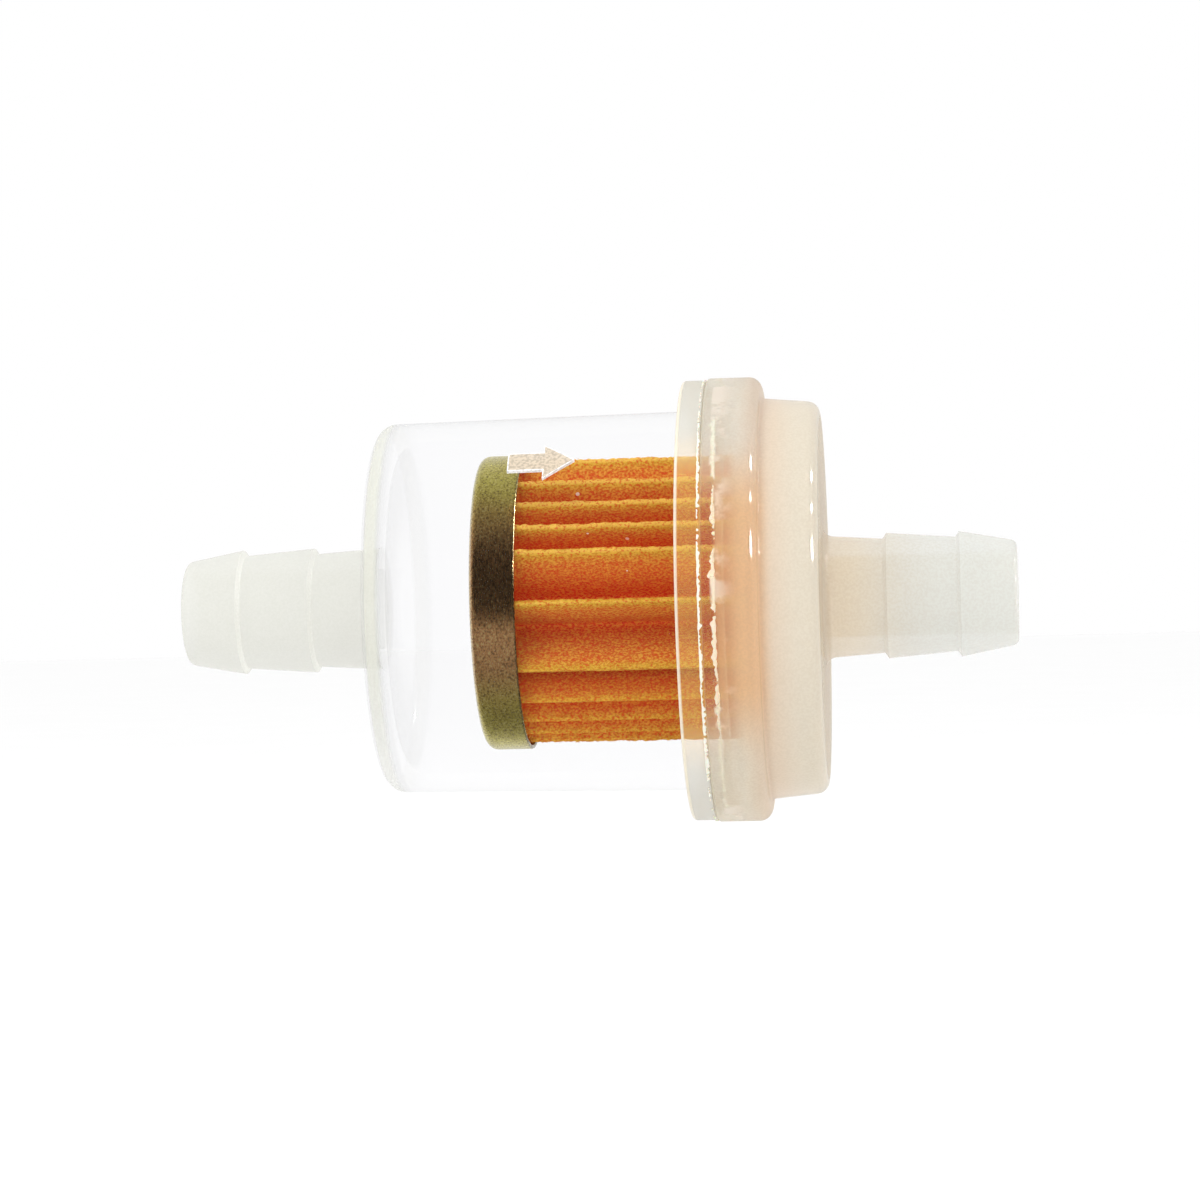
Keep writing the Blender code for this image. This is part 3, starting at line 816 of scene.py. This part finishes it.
def make_arrow(face, painted_highlight_edge, painted_shade_edge):
    """The raised arrow: a flat outline, given thickness and bent to the bowl's wall."""
    half = [(ARROW_TAIL, ARROW_SHAFT / 2), (ARROW_NECK, ARROW_SHAFT / 2), (ARROW_NECK, ARROW_HEAD / 2)]
    corners = [*half, (ARROW_TIP, 0.0), *((x, -y) for x, y in reversed(half))]
    mesh = bpy.data.meshes.new("flow_arrow")
    shape = bmesh.new()
    top = shape.faces.new([shape.verts.new((x, y, ARROW_RAISE)) for x, y in corners])
    drawn = bmesh.ops.extrude_face_region(shape, geom=[top])["geom"]
    moved = [item for item in drawn if isinstance(item, bmesh.types.BMVert)]
    bmesh.ops.translate(shape, verts=moved, vec=(0.0, 0.0, 0.01 - ARROW_RAISE))
    # painted highlight: the border round the arrow's top
    for polygon in bmesh.ops.inset_region(shape, faces=[top], thickness=ARROW_BORDER)["faces"]:
        polygon.material_index = 1
    for i in range(1, ARROW_LANES):
        across = ARROW_HEAD * (i / ARROW_LANES - 0.5)
        geometry = [*shape.verts, *shape.edges, *shape.faces]
        bmesh.ops.bisect_plane(shape, geom=geometry, plane_co=(0.0, across, 0.0), plane_no=(0.0, 1.0, 0.0))
    bmesh.ops.recalc_face_normals(shape, faces=shape.faces)
    # painted light and shade: sides turned towards the back get the painted shade, the other sides the painted
    # highlight
    for polygon in shape.faces:
        if abs(polygon.normal.z) < 0.5:
            polygon.material_index = 2 if polygon.normal.y > 0.2 else 1
    slope = (BOWL_RIM_R - BOWL_END_R) / (RIM_START - BOWL_END)
    for vert in shape.verts:
        x, across, height = vert.co
        wall = BOWL_END_R + slope * (x - BOWL_END)
        vert.co = on_ring(x, wall + height, math.radians(ARROW_ANGLE) + across / wall)
    bmesh.ops.recalc_face_normals(shape, faces=shape.faces)
    shape.to_mesh(mesh)
    shape.free()
    for material in (face, painted_highlight_edge, painted_shade_edge):
        mesh.materials.append(material)
    return add_piece("flow_arrow", mesh)


# ---------------------------------------------------------------- stage, light and camera

def make_floor():
    mesh = bpy.data.meshes.new("floor")
    shape = bmesh.new()
    bmesh.ops.create_grid(shape, x_segments=1, y_segments=1, size=4.0)
    bmesh.ops.translate(shape, verts=shape.verts, vec=(0.0, 0.0, -0.052))
    shape.to_mesh(mesh)
    shape.free()
    floor = bpy.data.objects.new("floor", mesh)
    bpy.context.scene.collection.objects.link(floor)
    t = Tree("floor")
    colour = t.mix(t.noise(40.0, 2.0), (0.75, 0.75, 0.75), (0.77, 0.77, 0.77))
    body = t.add(
        "ShaderNodeBsdfPrincipled",
        {"Base Color": colour, "Roughness": 0.9, "Emission Color": (1, 1, 1, 1), "Emission Strength": 0.06},
    ).outputs[0]
    mesh.materials.append(t.show(body))
    floor.visible_glossy = False
    return floor


def make_world():
    """White to the camera, an even white light, and for glossy rays a studio that is dark in front."""
    world = bpy.data.worlds.new("studio")
    bpy.context.scene.world = world
    world.use_nodes = True
    nodes, links = world.node_tree.nodes, world.node_tree.links
    nodes.clear()
    output = nodes.new("ShaderNodeOutputWorld")
    ray = nodes.new("ShaderNodeLightPath")
    direction = nodes.new("ShaderNodeTexCoord")
    split = nodes.new("ShaderNodeSeparateXYZ")
    links.new(direction.outputs["Generated"], split.inputs[0])
    angle = nodes.new("ShaderNodeMath")
    angle.operation = "ARCTAN2"
    minus = nodes.new("ShaderNodeMath")
    minus.operation = "MULTIPLY"
    minus.inputs[1].default_value = -1.0
    links.new(split.outputs["Y"], minus.inputs[0])
    links.new(split.outputs["Z"], angle.inputs[0])
    links.new(minus.outputs[0], angle.inputs[1])
    share = nodes.new("ShaderNodeMapRange")
    share.inputs[1].default_value = -math.pi
    share.inputs[2].default_value = math.pi
    links.new(angle.outputs[0], share.inputs[0])
    ramp = nodes.new("ShaderNodeValToRGB")
    stops = ramp.color_ramp.elements
    stops[0].position, stops[0].color = 0.0, (1.0, 1.0, 1.0, 1.0)
    stops[1].position, stops[1].color = 1.0, (1.0, 1.0, 1.0, 1.0)
    for degrees, grey in MIRRORED_STUDIO:
        stop = stops.new((degrees + 180) / 360)
        stop.color = (grey, grey, grey, 1.0)
    links.new(share.outputs[0], ramp.inputs[0])
    even = nodes.new("ShaderNodeBackground")
    even.inputs["Color"].default_value = (1.0, 1.0, 1.0, 1.0)
    even.inputs["Strength"].default_value = 1.25
    mirrored = nodes.new("ShaderNodeBackground")
    links.new(ramp.outputs[0], mirrored.inputs["Color"])
    white = nodes.new("ShaderNodeBackground")
    white.inputs["Color"].default_value = (1.0, 1.0, 1.0, 1.0)
    white.inputs["Strength"].default_value = 1.0
    first = nodes.new("ShaderNodeMixShader")
    second = nodes.new("ShaderNodeMixShader")
    links.new(ray.outputs["Is Glossy Ray"], first.inputs[0])
    links.new(even.outputs[0], first.inputs[1])
    links.new(mirrored.outputs[0], first.inputs[2])
    links.new(ray.outputs["Is Camera Ray"], second.inputs[0])
    links.new(first.outputs[0], second.inputs[1])
    links.new(white.outputs[0], second.inputs[2])
    links.new(second.outputs[0], output.inputs["Surface"])


def aim(item, target):
    item.rotation_euler = (target - item.location).to_track_quat("-Z", "Y").to_euler()


def add_lamp(name, place, width, height, power, mirror_only=False):
    data = bpy.data.lights.new(name, "AREA")
    data.shape = "RECTANGLE"
    data.size = width
    data.size_y = height
    data.energy = power
    lamp = bpy.data.objects.new(name, data)
    lamp.location = place
    bpy.context.scene.collection.objects.link(lamp)
    aim(lamp, Vector((0.0, 0.0, 0.0)))
    lamp.visible_diffuse = mirror_only is False
    lamp.visible_glossy = mirror_only
    return lamp


def make_lamps():
    add_lamp("key", Vector((-0.25, -0.45, 0.55)), 0.5, 0.4, 1.6)
    for i, (out, back, up, tall) in enumerate(WINDOWS):
        add_lamp(f"window_{i}", Vector((out, back, up)) * 0.6, 0.06, tall, 120.0 * tall, mirror_only=True)


def make_camera():
    """Level with the axis, a little towards the outlet, with the outlet end slightly high in the frame."""
    distance, azimuth, roll = 0.275, math.radians(5.1), math.radians(1.5)
    target = Vector((0.0, 0.0, 0.00022))
    data = bpy.data.cameras.new("camera")
    data.sensor_width = 36.0
    data.lens = 114.3
    data.clip_start = 0.01
    data.clip_end = 20.0
    camera = bpy.data.objects.new("camera", data)
    camera.location = target + Vector((math.sin(azimuth), -math.cos(azimuth), 0.0)) * distance
    bpy.context.scene.collection.objects.link(camera)
    look = (target - camera.location).to_track_quat("-Z", "Y").to_matrix()
    camera.rotation_euler = (look @ Matrix.Rotation(-roll, 3, "Z")).to_euler()
    bpy.context.scene.camera = camera


def dress_cad_nodes(glue):
    for name in ("inlet_potting", "outlet_potting"):
        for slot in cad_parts[name].material_slots:
            slot.material = glue


clear = clear_plastic()
milky = milky_plastic()
paper = filter_paper()
glue = adhesive()
make_bowl(clear)
make_cap(milky)
make_cup(passivated_steel())
make_paper(paper)
make_fibres(paper)
make_seam(glue)
make_weld(weld_plastic())
# the arrow's two edge materials are a painted highlight and a painted shade
make_arrow(
    arrow_plastic("arrow_face", (0.70, 0.59, 0.45), 0.85, 0.6),
    arrow_plastic("arrow_painted_highlight_edge", (0.97, 0.97, 0.97), 0.97, 0.3),
    arrow_plastic("arrow_painted_shade_edge", (0.30, 0.28, 0.20), 0.7, 0.4),
)
dress_cad_nodes(glue)
make_floor()
make_world()
make_lamps()
make_camera()

scene = bpy.context.scene
scene.view_settings.view_transform = "Standard"
scene.cycles.transparent_max_bounces = 32
